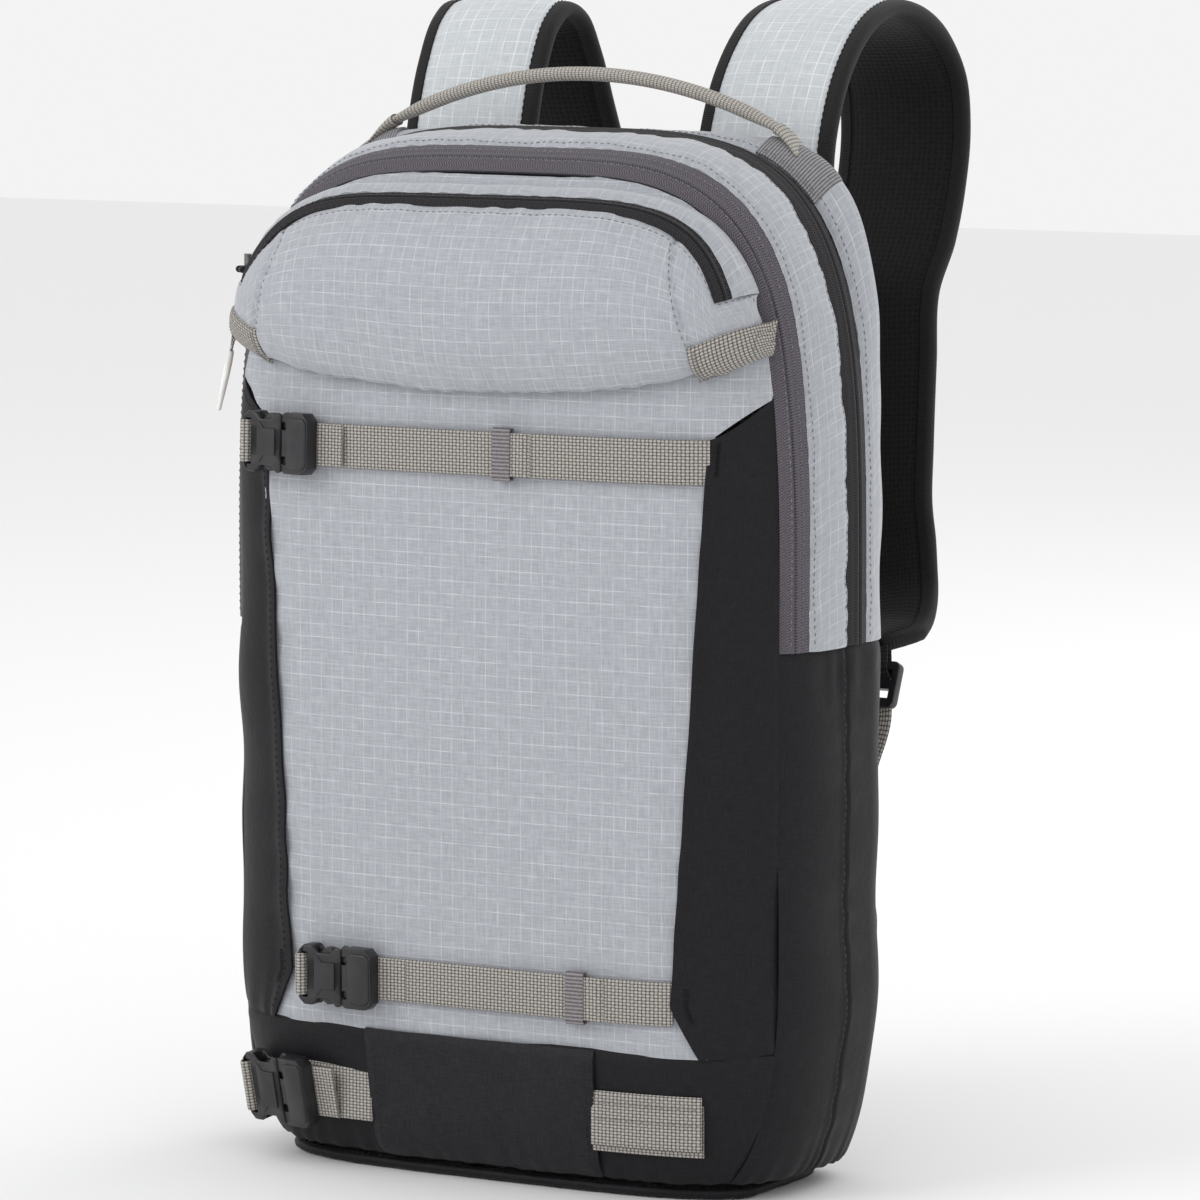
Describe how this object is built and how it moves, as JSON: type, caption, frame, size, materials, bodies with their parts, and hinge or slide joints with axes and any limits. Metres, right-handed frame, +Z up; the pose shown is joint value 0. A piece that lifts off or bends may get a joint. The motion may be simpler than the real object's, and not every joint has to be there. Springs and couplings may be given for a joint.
{
  "type": "ski backpack",
  "caption": "Ski backpack with a fold-forward front, a top pocket, cross straps with side-release buckles, a haul handle and padded shoulder straps.",
  "frame": {"origin": "middle of the flat base that the bag stands on", "axes": "+X to the viewer's right, -Y out of the front, +Z up the bag"},
  "size_m": [0.3186, 0.2892, 0.539],
  "materials": {
    "ripstop": "light grey ripstop nylon",
    "strap_pad": "light ripstop over foam, black mesh inside",
    "black_nylon": "black plain-weave nylon",
    "foam_mesh": "black spacer mesh over foam",
    "stiffener": "thin polyethylene sheet",
    "lining": "grey coated lining",
    "zip_black": "black coil zip tape",
    "zip_grey": "brown-grey coil zip tape",
    "webbing": "warm grey polyester webbing",
    "dark_webbing": "black polyester webbing",
    "elastic": "mauve-grey elastic",
    "moulded": "moulded acetal",
    "slider": "painted zinc casting",
    "pull": "milky moulded elastomer on cord"
  },
  "bodies": {
    "root": {"back_panel": "black_nylon", "back_foam": "foam_mesh", "frame_sheet": "stiffener", "laptop_sleeve": "lining", "rear_strip": "ripstop", "main_zip_rear": "zip_black", "side_panel_left": "black_nylon", "side_panel_right": "black_nylon", "divider_lower": "lining", "base_panel": "black_nylon", "base_piping": "black_nylon", "front_bottom_panel": "black_nylon", "front_panel_lower": "ripstop", "wing_lower_left": "black_nylon", "wing_lower_right": "black_nylon", "lower_strap": "webbing", "lower_buckle_socket": "moulded", "bottom_flap": "black_nylon", "ski_strap": "webbing", "ski_webbing": "webbing", "ski_buckle_socket": "moulded", "handle_tabs": "webbing", "shoulder_strap_left": "strap_pad", "shoulder_strap_right": "strap_pad", "strap_webbing_left": "webbing", "strap_webbing_right": "webbing"},
    "front_lid": {"gusset": "ripstop", "main_zip_front": "zip_black", "front_zip": "zip_grey", "divider_upper": "lining", "front_panel_upper": "ripstop", "wing_upper_left": "black_nylon", "wing_upper_right": "black_nylon", "upper_strap": "webbing", "upper_buckle_socket": "moulded", "pocket_lower": "ripstop", "pocket_zip": "zip_black", "pocket_bars": "webbing", "pocket_slider": "slider"},
    "pocket_flap": {"pocket_flap": "ripstop"},
    "haul_handle": {"haul_handle": "webbing"},
    "lower_keeper": {"lower_keeper": "elastic"},
    "upper_keeper": {"upper_keeper": "elastic"},
    "lower_plug": {"lower_buckle_plug": "moulded"},
    "lower_arm_top": {"lower_buckle_arm_top": "moulded"},
    "lower_arm_bottom": {"lower_buckle_arm_bottom": "moulded"},
    "upper_plug": {"upper_buckle_plug": "moulded"},
    "upper_arm_top": {"upper_buckle_arm_top": "moulded"},
    "upper_arm_bottom": {"upper_buckle_arm_bottom": "moulded"},
    "ski_plug": {"ski_buckle_plug": "moulded"},
    "ladder_left": {"ladder_lock_left": "moulded"},
    "ladder_right": {"ladder_lock_right": "moulded"},
    "sternum": {"sternum_strap_left": "dark_webbing", "sternum_strap_right": "dark_webbing", "sternum_buckle_socket": "moulded"},
    "sternum_plug": {"sternum_buckle_plug": "moulded"},
    "main_slider": {"main_slider": "slider"},
    "main_pull": {"main_pull": "pull"},
    "front_slider": {"front_slider": "slider"},
    "front_pull": {"front_pull": "pull"}
  },
  "joints": [
    {"name": "lid_fold", "type": "hinge", "parent": "root", "child": "front_lid", "pos_m": [0, -0.0628, 0.25], "axis": [1, 0, 0], "range_deg": [0, 60]},
    {"name": "pocket_fold", "type": "hinge", "parent": "front_lid", "child": "pocket_flap", "pos_m": [0, -0.0792, 0.404], "axis": [1, 0, 0], "range_deg": [0, 50]},
    {"name": "handle_swing", "type": "hinge", "parent": "root", "child": "haul_handle", "pos_m": [0, 0.036, 0.4795], "axis": [1, 0, 0], "range_deg": [-40, 60], "stiffness_Nm_per_rad": 0.05},
    {"name": "lower_keeper_slide", "type": "slide", "parent": "root", "child": "lower_keeper", "axis": [0.9994, 0.0341, 0], "range_m": [-0.014, 0.006]},
    {"name": "upper_keeper_slide", "type": "slide", "parent": "front_lid", "child": "upper_keeper", "axis": [1, 0.0017, 0], "range_m": [-0.02, 0.02]},
    {"name": "lower_plug_slide", "type": "slide", "parent": "root", "child": "lower_plug", "axis": [0.9986, -0.0526, 0], "range_m": [0, 0.018]},
    {"name": "lower_arm_top_press", "type": "hinge", "parent": "lower_plug", "child": "lower_arm_top", "pos_m": [-0.06403, -0.06941, 0.09996], "axis": [-0.0526, -0.9986, -0.0054], "range_deg": [0, 6], "stiffness_Nm_per_rad": 0.02},
    {"name": "lower_arm_bottom_press", "type": "hinge", "parent": "lower_plug", "child": "lower_arm_bottom", "pos_m": [-0.06403, -0.06933, 0.08396], "axis": [0.0526, 0.9986, 0.0054], "range_deg": [0, 6], "stiffness_Nm_per_rad": 0.02},
    {"name": "upper_plug_slide", "type": "slide", "parent": "front_lid", "child": "upper_plug", "axis": [0.9822, -0.1878, 0], "range_m": [0, 0.018]},
    {"name": "upper_arm_top_press", "type": "hinge", "parent": "upper_plug", "child": "upper_arm_top", "pos_m": [-0.09716, -0.06578, 0.34419], "axis": [-0.1878, -0.9819, 0.0243], "range_deg": [0, 6], "stiffness_Nm_per_rad": 0.02},
    {"name": "upper_arm_bottom_press", "type": "hinge", "parent": "upper_plug", "child": "upper_arm_bottom", "pos_m": [-0.09724, -0.06617, 0.3282], "axis": [0.1878, 0.9819, -0.0243], "range_deg": [0, 6], "stiffness_Nm_per_rad": 0.02},
    {"name": "ski_plug_slide", "type": "slide", "parent": "root", "child": "ski_plug", "axis": [0.9648, -0.2628, 0], "range_m": [0, 0.018]},
    {"name": "ladder_tilt_left", "type": "hinge", "parent": "root", "child": "ladder_left", "pos_m": [-0.114, 0.106, 0.22], "axis": [1, 0, 0], "range_deg": [-12, 12]},
    {"name": "ladder_tilt_right", "type": "hinge", "parent": "root", "child": "ladder_right", "pos_m": [0.114, 0.106, 0.22], "axis": [1, 0, 0], "range_deg": [-12, 12]},
    {"name": "sternum_height", "type": "slide", "parent": "root", "child": "sternum", "axis": [0, 0.1478, 0.989], "range_m": [-0.025, 0.025]},
    {"name": "sternum_plug_slide", "type": "slide", "parent": "sternum", "child": "sternum_plug", "axis": [-1, 0, 0], "range_m": [0, 0.018]},
    {"name": "main_zip_slide", "type": "slide", "parent": "root", "child": "main_slider", "axis": [0.0099, 0.0002, 1], "range_m": [-0.045, 0.02]},
    {"name": "main_pull_swing", "type": "hinge", "parent": "main_slider", "child": "main_pull", "pos_m": [-0.16116, 0.01591, 0.30606], "axis": [-0.0148, 0.9999, 0], "range_deg": [0, 70]},
    {"name": "front_zip_slide", "type": "slide", "parent": "front_lid", "child": "front_slider", "axis": [0.1836, 0.102, 0.9777], "range_m": [-0.025, 0.006]},
    {"name": "front_pull_swing", "type": "hinge", "parent": "front_slider", "child": "front_pull", "pos_m": [-0.14638, -0.03154, 0.39334], "axis": [-0.4858, 0.8741, 0], "range_deg": [0, 70]}
  ],
  "couplings": [
    {"joint": "lower_arm_bottom_press", "follows": "lower_arm_top_press", "ratio": 1},
    {"joint": "upper_arm_bottom_press", "follows": "upper_arm_top_press", "ratio": 1}
  ]
}
